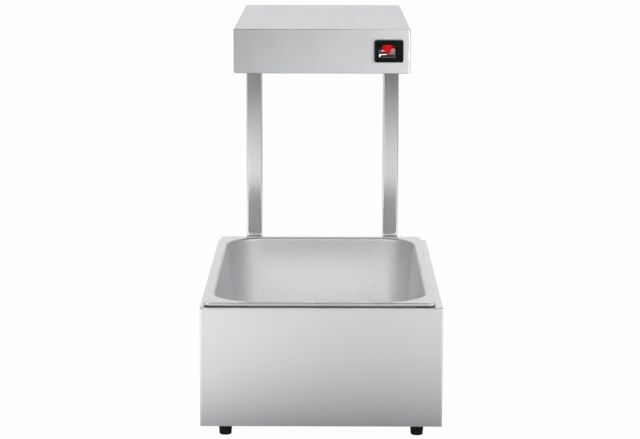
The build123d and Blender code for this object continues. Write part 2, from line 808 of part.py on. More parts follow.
# Rocker: two sloping halves that meet in a shallow valley, tipped to its off side at rest
rocker_half_height = window_half_height - rocker_side_gap
rocker_plane = Plane((switch_x, pivot_y, switch_z - rocker_half_height)).rotated((0, 0, rocker_angle))
with BuildPart() as switch_rocker:
    with BuildSketch(rocker_plane):
        with BuildLine():
            Polyline(
                (-rocker_half_length, -rocker_rise),
                (0, -rocker_valley),
                (rocker_half_length, -rocker_rise),
                (rocker_half_length, 0),
                (rocker_half_length - rocker_back, rocker_back),
                (rocker_back - rocker_half_length, rocker_back),
                (-rocker_half_length, 0),
                close=True,
            )
        make_face()
    extrude(amount=2 * rocker_half_height)
    fillet(switch_rocker.edges().filter_by(Axis.Z).sort_by(Axis.Y)[:2], radius=0.15 * rocker_rise)
    with BuildSketch(Plane((switch_x, pivot_y, switch_z - rocker_half_height - pivot_pin_length))):
        Circle(pivot_pin / 2)
    extrude(amount=2 * (rocker_half_height + pivot_pin_length))
keep(switch_rocker.part, "switch_rocker")

# Splash cover: black frame round the bezel, wider to the right, with a lip over the foot of the clear hood
hood_base = switch_face - hood_foot
frame_front = head_front - frame_depth
with BuildPart() as hood_frame:
    with BuildSketch(front_plane(head_front)):
        with Locations((switch_x + frame_offset, switch_z)):
            RectangleRounded(frame_width, frame_height, frame_corner)
    extrude(amount=frame_depth)
    fillet(hood_frame.faces().sort_by(Axis.Y)[0].edges(), radius=0.3 * frame_corner)
    with BuildSketch(front_plane(head_front)):
        with Locations((switch_x, switch_z)):
            RectangleRounded(bezel_width + 2 * frame_fit, bezel_height + 2 * frame_fit, frame_corner)
    extrude(amount=frame_depth - frame_lip, mode=Mode.SUBTRACT)
    with BuildSketch(front_plane(frame_front)):
        with Locations((switch_x, switch_z)):
            RectangleRounded(hood_width + 2 * frame_fit, hood_height + 2 * frame_fit, hood_corner)
    extrude(amount=-frame_depth, mode=Mode.SUBTRACT)
keep(hood_frame.part, "switch_hood_frame")

hood_inner = (hood_width - 2 * hood_wall, hood_height - 2 * hood_wall, hood_corner - hood_wall)
with BuildPart() as hood_cavity:
    with BuildSketch(front_plane(switch_face)):
        with Locations((switch_x, switch_z)):
            RectangleRounded(*hood_inner)
    extrude(amount=hood_foot)
    with BuildSketch(front_plane(hood_base)):
        with Locations((switch_x, switch_z)):
            RectangleRounded(*hood_inner)
    extrude(amount=hood_rise - hood_wall, taper=hood_taper)
    fillet(hood_cavity.faces().sort_by(Axis.Y)[0].edges(), radius=hood_round - hood_wall)
with BuildPart() as hood:
    with BuildSketch(front_plane(hood_base)):
        with Locations((switch_x, switch_z)):
            RectangleRounded(hood_width, hood_height, hood_corner)
    extrude(amount=hood_rise, taper=hood_taper)
    fillet(hood.faces().sort_by(Axis.Y)[0].edges(), radius=hood_round)
    with BuildSketch(front_plane(switch_face)):
        with Locations((switch_x, switch_z)):
            RectangleRounded(bezel_width, bezel_height, frame_corner)
    extrude(amount=hood_foot)
    add(hood_cavity.part, mode=Mode.SUBTRACT)
keep(hood.part, "switch_hood")
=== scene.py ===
import json
import math
import bpy
from mathutils import Matrix, Vector


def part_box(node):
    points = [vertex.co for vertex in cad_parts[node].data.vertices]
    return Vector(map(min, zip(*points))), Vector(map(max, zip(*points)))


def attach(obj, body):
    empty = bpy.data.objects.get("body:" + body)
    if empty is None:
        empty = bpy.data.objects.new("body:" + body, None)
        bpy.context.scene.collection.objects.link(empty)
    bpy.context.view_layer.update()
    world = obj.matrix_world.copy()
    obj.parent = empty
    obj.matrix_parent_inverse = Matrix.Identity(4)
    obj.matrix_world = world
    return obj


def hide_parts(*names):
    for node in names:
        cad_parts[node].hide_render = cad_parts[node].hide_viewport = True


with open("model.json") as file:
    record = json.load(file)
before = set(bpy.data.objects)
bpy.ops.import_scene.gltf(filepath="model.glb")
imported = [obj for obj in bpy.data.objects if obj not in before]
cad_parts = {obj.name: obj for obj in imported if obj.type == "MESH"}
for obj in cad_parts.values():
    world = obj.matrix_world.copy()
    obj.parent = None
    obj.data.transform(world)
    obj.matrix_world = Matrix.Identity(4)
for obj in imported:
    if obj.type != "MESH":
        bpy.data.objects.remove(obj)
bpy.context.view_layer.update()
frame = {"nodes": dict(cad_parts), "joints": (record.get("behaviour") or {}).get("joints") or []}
nodes = frame["nodes"]
print("frame loaded:", len(nodes), "nodes")


# small helpers for node trees

def addNode(tree, kind, **settings):
    node = tree.nodes.new(kind)
    for key, value in settings.items():
        setattr(node, key, value)
    return node


def wire(tree, source, target):
    tree.links.new(source, target)


def mathNode(tree, operation, first, second=None, clamp=False):
    node = addNode(tree, "ShaderNodeMath", operation=operation, use_clamp=clamp)
    for socket, value in zip(node.inputs, (first, second)):
        if value is None:
            continue
        if isinstance(value, (int, float)):
            socket.default_value = value
        else:
            wire(tree, value, socket)
    return node.outputs[0]


def remap(tree, value, low, high, newLow, newHigh, smooth=False):
    node = addNode(tree, "ShaderNodeMapRange")
    node.interpolation_type = "SMOOTHSTEP" if smooth else "LINEAR"
    wire(tree, value, node.inputs["Value"])
    for name, number in (("From Min", low), ("From Max", high), ("To Min", newLow), ("To Max", newHigh)):
        node.inputs[name].default_value = number
    return node.outputs["Result"]


def mixColours(tree, factor, first, second):
    node = addNode(tree, "ShaderNodeMix", data_type="RGBA")
    wire(tree, factor, node.inputs["Factor"])
    for socket, value in ((node.inputs[6], first), (node.inputs[7], second)):
        if isinstance(value, tuple):
            socket.default_value = (*value, 1)
        else:
            wire(tree, value, socket)
    return node.outputs[2]


def mixValues(tree, factor, first, second):
    # first where factor is 0, second where it is 1
    step = mathNode(tree, "SUBTRACT", second, first)
    return mathNode(tree, "ADD", mathNode(tree, "MULTIPLY", factor, step), first)


numberKind, vectorKind = "NodeSocketFloat", "NodeSocketVector"


def newGroup(name, inputs, outputs):
    group = bpy.data.node_groups.new(name, "ShaderNodeTree")
    for label, kind, value in inputs:
        socket = group.interface.new_socket(label, in_out="INPUT", socket_type=kind)
        if value is not None:
            socket.default_value = value
    for label, kind in outputs:
        group.interface.new_socket(label, in_out="OUTPUT", socket_type=kind)
    return group, group.nodes.new("NodeGroupInput"), group.nodes.new("NodeGroupOutput")


def placeGroup(tree, group, vector=None, **values):
    node = addNode(tree, "ShaderNodeGroup", node_tree=group)
    if vector is not None:
        wire(tree, vector, node.inputs["Vector"])
    for label, value in values.items():
        node.inputs[label].default_value = value
    return node


# brushed lines: long fine scratches, upright on walls and front to back on flat tops

lineLook = {"lyingFrom": 0.7, "detail": 3.0, "roughness": 0.62, "faint": 0.28, "strong": 0.72}


def makeBrushedLines(look):
    group, inside, outside = newGroup(
        "brushedLines",
        [("Vector", vectorKind, None), ("Fine", numberKind, 2200.0), ("Long", numberKind, 9.0)],
        [("Streak", numberKind)],
    )
    surface = addNode(group, "ShaderNodeNewGeometry")
    axes = addNode(group, "ShaderNodeSeparateXYZ")
    wire(group, surface.outputs["True Normal"], axes.inputs[0])
    lying = mathNode(group, "GREATER_THAN", mathNode(group, "ABSOLUTE", axes.outputs["Z"]), look["lyingFrom"])
    upright = addNode(group, "ShaderNodeCombineXYZ")
    level = addNode(group, "ShaderNodeCombineXYZ")
    for node, longAxis in ((upright, "Z"), (level, "Y")):
        for axis in "XYZ":
            wire(group, inside.outputs["Long" if axis == longAxis else "Fine"], node.inputs[axis])
    pick = addNode(group, "ShaderNodeMix", data_type="VECTOR")
    wire(group, lying, pick.inputs["Factor"])
    wire(group, upright.outputs[0], pick.inputs[4])
    wire(group, level.outputs[0], pick.inputs[5])
    stretch = addNode(group, "ShaderNodeVectorMath", operation="MULTIPLY")
    wire(group, inside.outputs["Vector"], stretch.inputs[0])
    wire(group, pick.outputs[1], stretch.inputs[1])
    noise = addNode(group, "ShaderNodeTexNoise")
    noise.inputs["Scale"].default_value = 1.0
    noise.inputs["Detail"].default_value = look["detail"]
    noise.inputs["Roughness"].default_value = look["roughness"]
    wire(group, stretch.outputs[0], noise.inputs["Vector"])
    wire(group, remap(group, noise.outputs[0], look["faint"], look["strong"], 0.0, 1.0), outside.inputs["Streak"])
    return group


# faint cloudy marks left by wiping

wipeLook = {"detail": 4.0, "swirl": 1.2, "faint": 0.35, "strong": 0.7}


def makeWipeMarks(look):
    group, inside, outside = newGroup(
        "wipeMarks",
        [("Vector", vectorKind, None), ("Scale", numberKind, 9.0)],
        [("Mask", numberKind)],
    )
    noise = addNode(group, "ShaderNodeTexNoise")
    noise.inputs["Detail"].default_value = look["detail"]
    noise.inputs["Distortion"].default_value = look["swirl"]
    wire(group, inside.outputs["Vector"], noise.inputs["Vector"])
    wire(group, inside.outputs["Scale"], noise.inputs["Scale"])
    cloudy = remap(group, noise.outputs[0], look["faint"], look["strong"], 0.0, 1.0, smooth=True)
    wire(group, cloudy, outside.inputs["Mask"])
    return group


# edges rubbed paler or brighter

rubLook = {"samples": 4, "flat": 0.98, "sharp": 0.78, "faint": 0.35, "strong": 0.6}


def makeRubbedEdges(look):
    group, inside, outside = newGroup(
        "rubbedEdges",
        [("Vector", vectorKind, None), ("Radius", numberKind, 0.0008), ("Breakup", numberKind, 220.0)],
        [("Mask", numberKind)],
    )
    rounded = addNode(group, "ShaderNodeBevel", samples=look["samples"])
    wire(group, inside.outputs["Radius"], rounded.inputs["Radius"])
    surface = addNode(group, "ShaderNodeNewGeometry")
    compare = addNode(group, "ShaderNodeVectorMath", operation="DOT_PRODUCT")
    wire(group, rounded.outputs[0], compare.inputs[0])
    wire(group, surface.outputs["Normal"], compare.inputs[1])
    edge = remap(group, compare.outputs["Value"], look["flat"], look["sharp"], 0.0, 1.0)
    noise = addNode(group, "ShaderNodeTexNoise")
    wire(group, inside.outputs["Vector"], noise.inputs["Vector"])
    wire(group, inside.outputs["Breakup"], noise.inputs["Scale"])
    broken = remap(group, noise.outputs[0], look["faint"], look["strong"], 0.0, 1.0)
    wire(group, mathNode(group, "MULTIPLY", edge, broken, clamp=True), outside.inputs["Mask"])
    return group


# fine dust on faces that look up

dustLook = {"steep": 0.3, "level": 0.95, "detail": 6.0, "faint": 0.4, "strong": 0.75}


def makeSettledDust(look):
    group, inside, outside = newGroup(
        "settledDust",
        [("Vector", vectorKind, None), ("Scale", numberKind, 60.0)],
        [("Mask", numberKind)],
    )
    surface = addNode(group, "ShaderNodeNewGeometry")
    axes = addNode(group, "ShaderNodeSeparateXYZ")
    wire(group, surface.outputs["Normal"], axes.inputs[0])
    upward = remap(group, axes.outputs["Z"], look["steep"], look["level"], 0.0, 1.0)
    noise = addNode(group, "ShaderNodeTexNoise")
    noise.inputs["Detail"].default_value = look["detail"]
    wire(group, inside.outputs["Vector"], noise.inputs["Vector"])
    wire(group, inside.outputs["Scale"], noise.inputs["Scale"])
    patch = remap(group, noise.outputs[0], look["faint"], look["strong"], 0.0, 1.0)
    wire(group, mathNode(group, "MULTIPLY", upward, patch, clamp=True), outside.inputs["Mask"])
    return group


# painted shade: steel darkened where ambient occlusion finds a narrow gap between pieces, such as under the pan's rim

gapShadeLook = {"samples": 8, "open": 0.7, "tight": 0.45}


def makePaintedGapShade(look):
    group, inside, outside = newGroup("paintedGapShade", [("Reach", numberKind, 0.005)], [("Mask", numberKind)])
    shade = addNode(group, "ShaderNodeAmbientOcclusion", samples=look["samples"])
    wire(group, inside.outputs["Reach"], shade.inputs["Distance"])
    wire(group, remap(group, shade.outputs["AO"], look["open"], look["tight"], 0.0, 1.0), outside.inputs["Mask"])
    return group


# pebbled skin of moulded pieces

skinLook = {"detail": 5.0, "blotches": 140.0}


def makeMouldSkin(look):
    group, inside, outside = newGroup(
        "mouldSkin",
        [("Vector", vectorKind, None), ("Scale", numberKind, 2400.0)],
        [("Height", numberKind), ("Tone", numberKind)],
    )
    pebbles = addNode(group, "ShaderNodeTexVoronoi")
    wire(group, inside.outputs["Vector"], pebbles.inputs["Vector"])
    wire(group, inside.outputs["Scale"], pebbles.inputs["Scale"])
    noise = addNode(group, "ShaderNodeTexNoise")
    noise.inputs["Detail"].default_value = look["detail"]
    noise.inputs["Scale"].default_value = look["blotches"]
    wire(group, inside.outputs["Vector"], noise.inputs["Vector"])
    wire(group, pebbles.outputs["Distance"], outside.inputs["Height"])
    wire(group, noise.outputs[0], outside.inputs["Tone"])
    return group


brushedLines = makeBrushedLines(lineLook)
wipeMarks = makeWipeMarks(wipeLook)
rubbedEdges = makeRubbedEdges(rubLook)
settledDust = makeSettledDust(dustLook)
paintedGapShade = makePaintedGapShade(gapShadeLook)
mouldSkin = makeMouldSkin(skinLook)
print("surface groups ready")


# materials

def newMaterial(name):
    material = bpy.data.materials.new(name)
    material.use_nodes = True
    tree = material.node_tree
    tree.nodes.clear()
    output = addNode(tree, "ShaderNodeOutputMaterial")
    shader = addNode(tree, "ShaderNodeBsdfPrincipled")
    wire(tree, shader.outputs[0], output.inputs["Surface"])
    place = addNode(tree, "ShaderNodeTexCoord").outputs["Object"]
    return material, tree, shader, place


def addBump(tree, shader, height, strength, distance):
    bump = addNode(tree, "ShaderNodeBump")
    bump.inputs["Strength"].default_value = strength
    bump.inputs["Distance"].default_value = distance
    wire(tree, height, bump.inputs["Height"])
    wire(tree, bump.outputs[0], shader.inputs["Normal"])


steelBumpDepth = 0.0001
# brushed lines follow this axis, which leans a little so that they run front to back on flat tops
grainAxis = (0.0, -0.02, 1.0)


def makeSteel(look):
    material, tree, shader, place = newMaterial(look["name"])
    lines = placeGroup(tree, brushedLines, place, Fine=look["fine"], Long=look["long"])
    marks = placeGroup(tree, wipeMarks, place, Scale=look["wipeScale"])
    edges = placeGroup(tree, rubbedEdges, place, Radius=look["edgeRadius"])
    streaked = mixColours(tree, lines.outputs["Streak"], look["dark"], look["light"])
    grainRough = remap(tree, lines.outputs["Streak"], 0, 1, look["rough"] + look["roughSpread"], look["rough"])
    if "rimStart" in look:
        # flat rim above this height: smoother, as polished by handling, and painted a lighter steel colour than the
        # rest of the pan as painted light
        heights = addNode(tree, "ShaderNodeSeparateXYZ")
        wire(tree, place, heights.inputs[0])
        rim = remap(tree, heights.outputs["Z"], look["rimStart"], look["rimStart"] + look["rimBlend"], 0.0, 1.0)
        streaked = mixColours(tree, rim, streaked, look["rimLitColour"])
        grainRough = mixValues(tree, rim, grainRough, look["rimRough"])
    brightEdge = mathNode(tree, "MULTIPLY", edges.outputs["Mask"], look["edgeGain"])
    colour = mixColours(tree, brightEdge, streaked, look["edge"])
    # painted shade in narrow gaps, darkening the base colour there
    if "gapShadeColour" in look:
        gaps = placeGroup(tree, paintedGapShade, Reach=look["gapShadeReach"])
        colour = mixColours(tree, gaps.outputs["Mask"], colour, look["gapShadeColour"])
    wire(tree, colour, shader.inputs["Base Color"])
    wiped = mathNode(tree, "MULTIPLY", marks.outputs["Mask"], look["wipeGain"])
    wire(tree, mathNode(tree, "ADD", grainRough, wiped), shader.inputs["Roughness"])
    addBump(tree, shader, lines.outputs["Streak"], look["bump"], steelBumpDepth)
    shader.inputs["Metallic"].default_value = 1.0
    shader.inputs["Anisotropic"].default_value = look["anisotropy"]
    if look["anisotropy"] > 0:
        surface = addNode(tree, "ShaderNodeNewGeometry")
        across = addNode(tree, "ShaderNodeVectorMath", operation="CROSS_PRODUCT")
        wire(tree, surface.outputs["Normal"], across.inputs[0])
        across.inputs[1].default_value = grainAxis
        unit = addNode(tree, "ShaderNodeVectorMath", operation="NORMALIZE")
        wire(tree, across.outputs[0], unit.inputs[0])
        wire(tree, unit.outputs[0], shader.inputs["Tangent"])
    return material


mouldBumpDepth = 0.0002
mouldRoughSpread = 0.12
toneLow, toneHigh = 0.3, 0.7
dustColour = (0.42, 0.41, 0.39)


def makeMoulded(look):
    material, tree, shader, place = newMaterial(look["name"])
    skin = placeGroup(tree, mouldSkin, place, Scale=look["pebbles"])
    edges = placeGroup(tree, rubbedEdges, place, Radius=look["edgeRadius"])
    dust = placeGroup(tree, settledDust, place)
    toned = mixColours(tree, skin.outputs["Tone"], look["dark"], look["light"])
    rubbed = mixColours(tree, edges.outputs["Mask"], toned, look["edge"])
    dusty = mathNode(tree, "MULTIPLY", dust.outputs["Mask"], look["dust"])
    wire(tree, mixColours(tree, dusty, rubbed, dustColour), shader.inputs["Base Color"])
    rough = remap(tree, skin.outputs["Tone"], toneLow, toneHigh, look["rough"], look["rough"] + mouldRoughSpread)
    wire(tree, rough, shader.inputs["Roughness"])
    addBump(tree, shader, skin.outputs["Height"], look["bump"], mouldBumpDepth)
    shader.inputs["Specular IOR Level"].default_value = look.get("specular", 0.5)
    return material


def dress(material, names):
    for name in names:
        slots = nodes[name].data.materials
        slots.clear()
        slots.append(material)


caseSteelLook = {
    "name": "caseSteel", "dark": (0.882, 0.892, 0.910), "light": (0.912, 0.922, 0.940), "edge": (0.94, 0.94, 0.94),
    "edgeGain": 0.2, "edgeRadius": 0.0009, "fine": 2600.0, "long": 7.0, "rough": 0.28, "roughSpread": 0.05,
    "wipeScale": 7.0, "wipeGain": 0.025, "bump": 0.015, "anisotropy": 0.3,
    # painted shade for narrow gaps; the head and post steel carry it over
    "gapShadeColour": (0.09, 0.09, 0.09), "gapShadeReach": 0.0036,
}
headSteelLook = {
    **caseSteelLook, "name": "headSteel", "dark": (0.795, 0.804, 0.820), "light": (0.854, 0.863, 0.880),
    "fine": 520.0, "long": 3.0, "rough": 0.33, "bump": 0.03, "anisotropy": 0.4,
}
postSteelLook = {
    **caseSteelLook, "name": "postSteel", "dark": (0.83, 0.832, 0.835), "light": (0.86, 0.862, 0.865),
    "rough": 0.13, "roughSpread": 0.08,
}
panRimDepth = 0.0016
# the pan's steel is painted darker than the other steel, as painted shade for the hollow of the pan; its flat rim is
# painted lighter
panSteelLook = {
    "name": "panSteel", "dark": (0.655, 0.661, 0.671), "light": (0.685, 0.691, 0.701), "edge": (0.84, 0.84, 0.84),
    "edgeGain": 0.2, "edgeRadius": 0.0008, "fine": 500.0, "long": 60.0, "rough": 0.5, "roughSpread": 0.05,
    "wipeScale": 11.0, "wipeGain": 0.03, "bump": 0.02, "anisotropy": 0.0,
    "rimStart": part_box("food_pan")[1].z - panRimDepth, "rimBlend": 0.0008, "rimLitColour": (0.852, 0.861, 0.875),
    "rimRough": 0.27,
}
plainSteelLook = {
    "name": "plainSteel", "dark": (0.50, 0.50, 0.50), "light": (0.60, 0.60, 0.60), "edge": (0.75, 0.75, 0.75),
    "edgeGain": 0.3, "edgeRadius": 0.0006, "fine": 700.0, "long": 90.0, "rough": 0.34, "roughSpread": 0.1,
    "wipeScale": 16.0, "wipeGain": 0.06, "bump": 0.05, "anisotropy": 0.0,
}
fastenerLook = {
    "name": "fastenerSteel", "dark": (0.56, 0.56, 0.55), "light": (0.68, 0.68, 0.67), "edge": (0.82, 0.82, 0.82),
    "edgeGain": 0.5, "edgeRadius": 0.0003, "fine": 2600.0, "long": 2600.0, "rough": 0.24, "roughSpread": 0.1,
    "wipeScale": 90.0, "wipeGain": 0.08, "bump": 0.05, "anisotropy": 0.0,
}
reflectorLook = {
    "name": "reflectorMetal", "dark": (0.80, 0.80, 0.80), "light": (0.88, 0.88, 0.88), "edge": (0.92, 0.92, 0.92),
    "edgeGain": 0.2, "edgeRadius": 0.0008, "fine": 300.0, "long": 40.0, "rough": 0.13, "roughSpread": 0.06,
    "wipeScale": 14.0, "wipeGain": 0.05, "bump": 0.02, "anisotropy": 0.0,
}
guardLook = {
    "name": "guardWire", "dark": (0.60, 0.60, 0.61), "light": (0.70, 0.70, 0.71), "edge": (0.82, 0.82, 0.82),
    "edgeGain": 0.2, "edgeRadius": 0.0004, "fine": 900.0, "long": 900.0, "rough": 0.15, "roughSpread": 0.1,
    "wipeScale": 60.0, "wipeGain": 0.06, "bump": 0.02, "anisotropy": 0.0,
}
footLook = {
    "name": "footRubber", "dark": (0.008, 0.008, 0.008), "light": (0.016, 0.016, 0.016), "edge": (0.03, 0.03, 0.03),
    "edgeRadius": 0.0008, "pebbles": 1500.0, "dust": 0.05, "rough": 0.62, "bump": 0.3,
}
blackLook = {
    "name": "blackPlastic", "dark": (0.004, 0.004, 0.004), "light": (0.008, 0.008, 0.008), "edge": (0.02, 0.02, 0.02),
    "edgeRadius": 0.0005, "pebbles": 2600.0, "dust": 0.02, "rough": 0.36, "bump": 0.12, "specular": 0.15,
}
ceramicLook = {
    "name": "firedCeramic", "dark": (0.62, 0.59, 0.53), "light": (0.74, 0.71, 0.65), "edge": (0.80, 0.77, 0.72),
    "edgeRadius": 0.0006, "pebbles": 1800.0, "dust": 0.1, "rough": 0.45, "bump": 0.12,
}

dress(makeSteel(caseSteelLook), ["base_case"])
dress(makeSteel(headSteelLook), ["head_shell"])
dress(makeSteel(postSteelLook), ["post_left", "post_right"])
dress(makeSteel(panSteelLook), ["food_pan"])
dress(
    makeSteel(plainSteelLook),
    ["head_floor", "base_floor", "rear_stiffener", "lamp_bracket_front", "lamp_bracket_rear", "guard_clips"],
)
dress(
    makeSteel(fastenerLook),
    ["foot_screws", "foot_nuts", "post_screws", "post_nuts", "head_side_screws", "head_side_nuts",
     "head_floor_screws", "reflector_screws", "guard_screws"],
)
dress(makeSteel(reflectorLook), ["reflector"])
dress(makeSteel(guardLook), ["wire_guard"])
dress(makeMoulded(footLook), ["foot_front_left", "foot_front_right", "foot_rear_left", "foot_rear_right"])
dress(
    makeMoulded(blackLook),
    ["post_plug_left", "post_plug_right", "gland_body", "gland_lock_nut", "gland_cap", "switch_body",
     "switch_hood_frame"],
)
dress(
    makeMoulded(ceramicLook),
    ["lamp_cap_left_front", "lamp_cap_left_rear", "lamp_cap_right_front", "lamp_cap_right_rear", "terminal_block"],
)


quartzLook = {
    "name": "milkyQuartz", "clear": (0.86, 0.85, 0.82), "cloudy": (0.93, 0.92, 0.90), "wipeScale": 70.0,
    "rough": 0.32, "roughSpread": 0.12, "transmission": 0.65, "ior": 1.46,
}


def makeQuartz(look):
    material, tree, shader, place = newMaterial(look["name"])
    marks = placeGroup(tree, wipeMarks, place, Scale=look["wipeScale"])
    wire(tree, mixColours(tree, marks.outputs["Mask"], look["clear"], look["cloudy"]), shader.inputs["Base Color"])
    rough = remap(tree, marks.outputs["Mask"], 0, 1, look["rough"], look["rough"] + look["roughSpread"])
    wire(tree, rough, shader.inputs["Roughness"])
    shader.inputs["Transmission Weight"].default_value = look["transmission"]
    shader.inputs["IOR"].default_value = look["ior"]
    return material


hoodLook = {
    "name": "clearHood", "tint": (0.98, 0.98, 0.98), "haze": (0.96, 0.96, 0.96), "wipeScale": 160.0,
    "rough": 0.006, "roughSpread": 0.006, "ior": 1.2,
}


def makeHood(look):
    material, tree, shader, place = newMaterial(look["name"])
    marks = placeGroup(tree, wipeMarks, place, Scale=look["wipeScale"])
    wire(tree, mixColours(tree, marks.outputs["Mask"], look["tint"], look["haze"]), shader.inputs["Base Color"])
    rough = remap(tree, marks.outputs["Mask"], 0, 1, look["rough"], look["rough"] + look["roughSpread"])
    wire(tree, rough, shader.inputs["Roughness"])
    shader.inputs["Transmission Weight"].default_value = 1.0
    shader.inputs["IOR"].default_value = look["ior"]
    return material


# painted glow and painted shade: the rocker's middle is painted bright red and glows, and its ends are painted nearly
# black, both placed by position on the piece

rockerLook = {
    "name": "redRocker", "deep": (0.018, 0.0004, 0.0006), "redWithPaintedGlow": (0.40, 0.0003, 0.002), "rough": 0.2,
    "roughSpread": 0.08, "pebbles": 900.0, "specular": 0.1, "glowRise": 0.004, "glowWidth": 0.0088,
    "glowHeight": 0.0074, "glowFull": 0.55, "glowEnd": 1.15, "glowStrength": 0.15,
}


def makeRocker(look):
    material, tree, shader, place = newMaterial(look["name"])
    low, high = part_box("switch_rocker")
    middle = (low + high) / 2
    away = addNode(tree, "ShaderNodeVectorMath", operation="SUBTRACT")
    wire(tree, place, away.inputs[0])
    away.inputs[1].default_value = (middle.x, 0, middle.z + look["glowRise"])
    scaled = addNode(tree, "ShaderNodeVectorMath", operation="MULTIPLY")
    wire(tree, away.outputs[0], scaled.inputs[0])
    scaled.inputs[1].default_value = (1 / look["glowWidth"], 0, 1 / look["glowHeight"])
    reach = addNode(tree, "ShaderNodeVectorMath", operation="LENGTH")
    wire(tree, scaled.outputs[0], reach.inputs[0])
    skin = placeGroup(tree, mouldSkin, place, Scale=look["pebbles"])
    # painted glow in the middle, painted shade towards the ends
    near = remap(tree, reach.outputs["Value"], look["glowEnd"], look["glowFull"], 0.0, 1.0, smooth=True)
    wire(tree, mixColours(tree, near, look["deep"], look["redWithPaintedGlow"]), shader.inputs["Base Color"])
    wire(tree, mixColours(tree, near, (0.0, 0.0, 0.0), look["redWithPaintedGlow"]), shader.inputs["Emission Color"])
    rough = remap(tree, skin.outputs["Tone"], toneLow, toneHigh, look["rough"], look["rough"] + look["roughSpread"])
    wire(tree, rough, shader.inputs["Roughness"])
    shader.inputs["Emission Strength"].default_value = look["glowStrength"]
    shader.inputs["Specular IOR Level"].default_value = look["specular"]
    return material


dress(makeQuartz(quartzLook), ["quartz_tube_left", "quartz_tube_right"])
clearHood = makeHood(hoodLook)
dress(clearHood, ["switch_hood"])
dress(makeRocker(rockerLook), ["switch_rocker"])
print("cad nodes dressed")


# new pieces

def addPiece(name, points, faces, material, body, smoothAngle=35.0):
    mesh = bpy.data.meshes.new(name)
    mesh.from_pydata([tuple(point) for point in points], [], faces)
    mesh.validate()
    mesh.shade_smooth()
    mesh.set_sharp_from_angle(angle=math.radians(smoothAngle))
    mesh.materials.append(material)
    piece = bpy.data.objects.new(name, mesh)
    bpy.context.scene.collection.objects.link(piece)
    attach(piece, body)
    return piece


def bridge(rings, size):
    # quads between rings of equal size that follow one another in a list of points
    faces = []
    for ring in range(rings - 1):
        first, second = ring * size, (ring + 1) * size
        for step in range(size):
            after = (step + 1) % size
            faces.append((first + step, first + after, second + after, second + step))
    return faces


# heating wire wound in the quartz tubes, with straight tails into the end caps

coilLook = {
    "wire": 0.00042, "radius": 0.0024, "pitch": 0.0027, "tail": 0.016, "stepsPerTurn": 14, "sides": 7,
    "aheadAxis": (0, 1, 0.001), "straight": 0.999, "smoothAngle": 80.0,
    "steel": {**plainSteelLook, "name": "heatingWire", "dark": (0.16, 0.13, 0.11), "light": (0.24, 0.20, 0.17),
              "rough": 0.42},
}
heatingWire = makeSteel(coilLook["steel"])


def coilCentre(look, low, high, share):
    # point on the wire's centre line, share running from 0 at the front to 1 at the rear
    axis = (low + high) / 2
    length = high.y - low.y
    along = share * length
    wound = min(max((along - look["tail"]) / look["tail"], 0.0), 1.0)
    wound = min(wound, min(max((length - look["tail"] - along) / look["tail"], 0.0), 1.0))
    angle = 2 * math.pi * along / look["pitch"]
    radius = look["radius"] * wound * wound * (3 - 2 * wound)
    return Vector((axis.x + radius * math.cos(angle), low.y + along, axis.z + radius * math.sin(angle)))


def addCoil(side, look):
    low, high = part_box("heating_core_" + side)
    steps = round((high.y - low.y) / look["pitch"] * look["stepsPerTurn"])
    path = [coilCentre(look, low, high, step / steps) for step in range(steps + 1)]
    points = []
    for step, centre in enumerate(path):
        ahead = (path[min(step + 1, steps)] - path[max(step - 1, 0)]).normalized()
        if abs(ahead.y) < look["straight"]:
            across = ahead.cross(Vector(look["aheadAxis"])).normalized()
        else:
            across = Vector((1, 0, 0))
        upward = across.cross(ahead)
        for corner in range(look["sides"]):
            angle = 2 * math.pi * corner / look["sides"]
            points.append(centre + look["wire"] * (math.cos(angle) * across + math.sin(angle) * upward))
    coil = addPiece("heating_coil_" + side, points, bridge(steps + 1, look["sides"]), heatingWire, "warmer",
                    smoothAngle=look["smoothAngle"])
    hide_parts("heating_core_" + side)


for side in ("left", "right"):
    addCoil(side, coilLook)


# soft clear cover over the rocker: a thin pillow that bulges between the lips of the black frame

coverLook = {
    "width": 0.028, "height": 0.023, "corner": 0.0045, "rise": 0.0092, "wall": 0.0005, "crownAcross": 3.2,
    "crownUp": 2.0, "foot": 0.0008, "around": 96, "outward": 22,
}


tiny = 1e-9


def roundedOutline(halfWidth, halfHeight, corner, count):
    # count points round a rectangle with arcs at its corners, even in angle
    outline = []
    for step in range(count):
        angle = 2 * math.pi * (step + 0.5) / count
        aim = Vector((math.cos(angle), math.sin(angle)))
        reach = min(halfWidth / max(abs(aim.x), tiny), halfHeight / max(abs(aim.y), tiny))
        centre = Vector((math.copysign(halfWidth - corner, aim.x), math.copysign(halfHeight - corner, aim.y)))
        spot = aim * reach
        if abs(spot.x) > halfWidth - corner and abs(spot.y) > halfHeight - corner:
            along = aim.dot(centre)
            reach = along + math.sqrt(max(along * along - centre.length_squared + corner * corner, 0.0))
            spot = aim * reach
        outline.append(spot)
    return outline


def pillow(look, spot, inset):
    # height of the cover's skin over its foot
    across = min(abs(spot.x) / (look["width"] / 2), 1.0)
    upward = min(abs(spot.y) / (look["height"] / 2), 1.0)
    return (look["rise"] - inset) * (1 - across ** look["crownAcross"]) * (1 - upward ** look["crownUp"])


